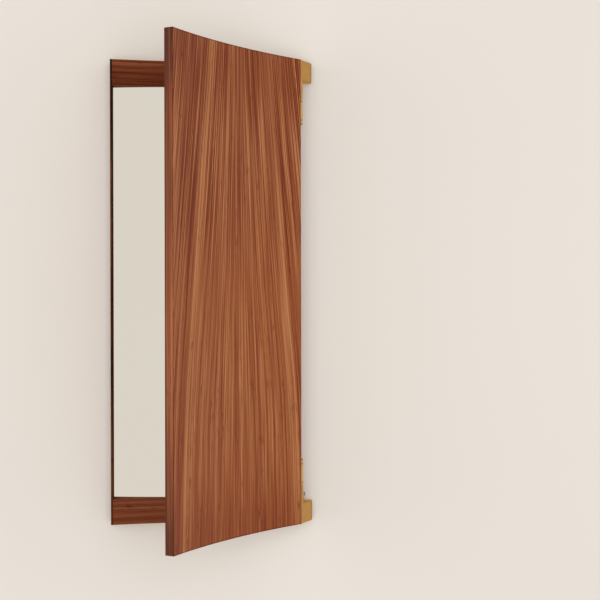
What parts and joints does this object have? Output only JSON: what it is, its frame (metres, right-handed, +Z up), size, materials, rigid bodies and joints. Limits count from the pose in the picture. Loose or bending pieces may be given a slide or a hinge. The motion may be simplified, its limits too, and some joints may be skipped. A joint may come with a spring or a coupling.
{
  "type": "shutter mirror",
  "caption": "Wall mirror in a shallow walnut frame, covered by a tall hollow-faced walnut shutter that swings on brass barrel hinges at one side.",
  "frame": {"origin": "middle of the back of the frame, on the wall", "axes": "+Z up, +Y into the wall, so the front faces -Y and +X is to the right seen from the front"},
  "size_m": [0.435, 0.3626, 1],
  "materials": {
    "board": "plain birch plywood, sanded",
    "rail_walnut": "walnut veneer, long grain across, satin lacquer",
    "side_walnut": "dark stained walnut edge, satin lacquer",
    "tape": "white foam mounting tape",
    "mirror": "silvered float glass",
    "zinc": "zinc plated",
    "brass": "brushed brass, satin",
    "pin_steel": "ground steel",
    "washer": "turned brass",
    "magnet": "nickel plated",
    "bumper": "soft clear bumper",
    "black": "matt black",
    "core": "bent plywood",
    "face_walnut": "upright walnut veneer, satin lacquer",
    "lipping_walnut": "solid walnut, satin lacquer"
  },
  "bodies": {
    "frame": {"back_board": "board", "top_rail": "rail_walnut", "bottom_rail": "rail_walnut", "left_side": "side_walnut", "right_side": "side_walnut", "mirror_tape": "tape", "mirror_glass": "mirror", "rail_screws": "zinc", "hanger_plates": "zinc", "hanger_screws": "zinc", "top_hinge_block": "brass", "bottom_hinge_block": "brass", "block_screws": "brass", "top_hinge_pin": "pin_steel", "bottom_hinge_pin": "pin_steel", "top_hinge_washer": "washer", "bottom_hinge_washer": "washer", "catch_magnets": "magnet", "adjusting_stud": "pin_steel", "stud_cap": "black"},
    "shutter": {"shutter_core": "core", "face_veneer": "face_walnut", "back_veneer": "face_walnut", "free_edge_lipping": "lipping_walnut", "hinge_edge_lipping": "lipping_walnut", "top_edge_lipping": "lipping_walnut", "bottom_edge_lipping": "lipping_walnut", "top_hinge_leaf": "brass", "bottom_hinge_leaf": "brass", "leaf_screws": "zinc", "strike_plates": "zinc", "shutter_bumpers": "bumper", "top_barrel_cap": "brass", "bottom_barrel_cap": "brass"}
  },
  "joints": [
    {"name": "shutter_swing", "type": "hinge", "parent": "frame", "child": "shutter", "pos_m": [0.207, -0.053, 0], "axis": [0, 0, 1], "range_deg": [-48.3, 61.7]}
  ]
}
